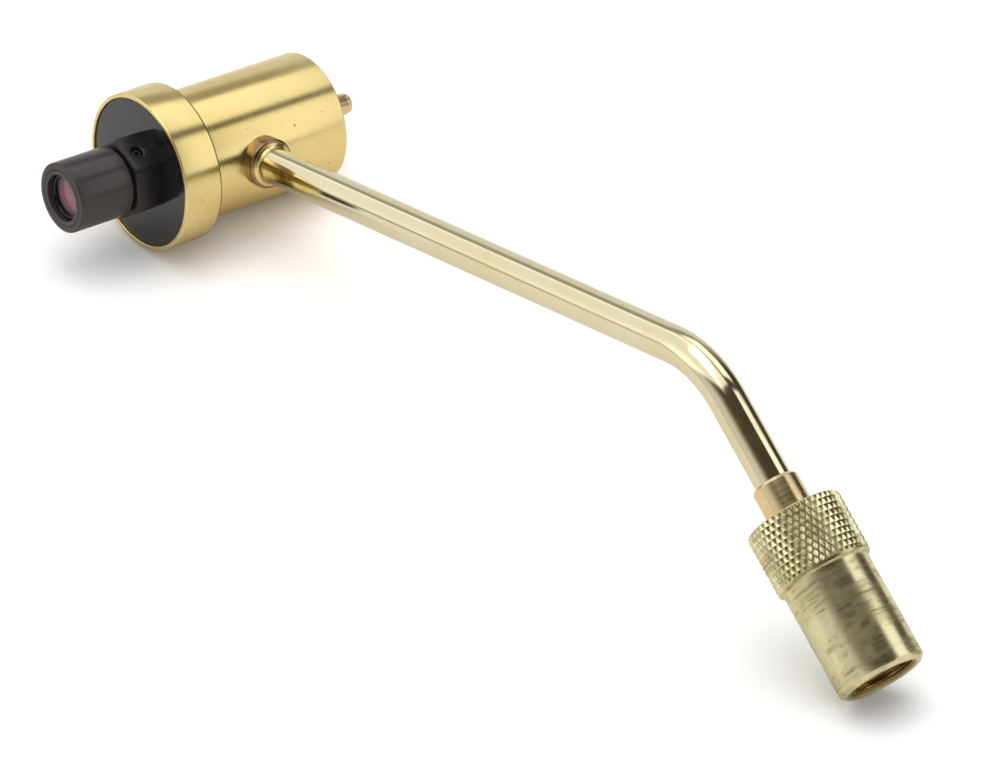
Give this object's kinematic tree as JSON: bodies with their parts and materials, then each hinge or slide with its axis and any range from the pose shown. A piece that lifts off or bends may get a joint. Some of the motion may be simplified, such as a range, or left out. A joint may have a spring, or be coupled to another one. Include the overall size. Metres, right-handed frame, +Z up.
{
  "type": "lampwork torch",
  "caption": "Round brass torch head with a black hexagon-held nozzle barrel and glass window, a bent brass feed tube and a captive knurled union nut.",
  "frame": {"origin": "centre of the bounding box in X and Y, at the height of the surface that the object lies on", "axes": "+Z up as it lies on a table, +X towards the knurled nut, the nozzle points towards -Y and slightly up, the rear pin towards +Y"},
  "size_m": [0.1956, 0.0614, 0.0411],
  "materials": {
    "satin_brass": "satin, lengthwise brushed, lacquered",
    "polished_brass": "polished",
    "turned_brass": "fine-turned, slightly worn, diamond knurled top",
    "bronze": "turned copper alloy",
    "spring_steel": "plain",
    "black_anodised": "satin black",
    "plate_black": "satin black",
    "black_rubber": "matte",
    "window_glass": "clear, faint violet coating",
    "red_element": "dark red",
    "fibre": "pressed fibre"
  },
  "bodies": {
    "head": {"head_body": "satin_brass", "collar_ring": "satin_brass", "face_gasket": "black_rubber", "face_plate": "plate_black", "holder_locknut": "spring_steel", "hex_holder": "black_anodised", "pin_bush": "satin_brass", "pin_seal": "black_rubber", "spring_seat": "satin_brass", "pin_spring": "spring_steel", "arm_sleeve": "bronze", "arm_tube": "polished_brass", "tube_ferrule": "bronze", "seal_washer": "fibre"},
    "pin": {"rear_pin": "bronze", "pin_clip": "spring_steel"},
    "barrel_slider": {"barrel_ring": "black_rubber"},
    "barrel": {"nozzle_barrel": "black_anodised", "window_glass": "window_glass", "window_retaining_ring": "black_anodised", "red_element": "red_element"},
    "screw": {"clamp_screw": "black_anodised"},
    "nut_slider": {"slip_washer": "spring_steel"},
    "nut": {"swivel_nut": "turned_brass"}
  },
  "joints": [
    {"name": "pin_push", "type": "slide", "parent": "head", "child": "pin", "axis": [0, -0.9962, 0.0874], "range_m": [0, 0.002], "stiffness_N_per_m": 150, "springref_m": -0.003, "deforming": ["pin_spring"]},
    {"name": "barrel_slide", "type": "slide", "parent": "head", "child": "barrel_slider", "axis": [0, -0.9962, 0.0874], "range_m": [0, 0.0015]},
    {"name": "barrel_turn", "type": "hinge", "parent": "barrel_slider", "child": "barrel", "pos_m": [-0.08379, -0.01982, 0.01509], "axis": [0, -0.9962, 0.0874], "continuous": true},
    {"name": "clamp_screw_turn", "type": "hinge", "parent": "head", "child": "screw", "pos_m": [-0.08184, -0.01589, 0.01986], "axis": [0.3572, 0.0816, 0.9305], "range_deg": [0, 720]},
    {"name": "nut_slide", "type": "slide", "parent": "head", "child": "nut_slider", "axis": [-0.8298, 0.0488, 0.556], "range_m": [0, 0.018]},
    {"name": "nut_spin", "type": "hinge", "parent": "nut_slider", "child": "nut", "pos_m": [0.06866, 0.00515, 0.02283], "axis": [0.8298, -0.0488, -0.556], "continuous": true}
  ]
}
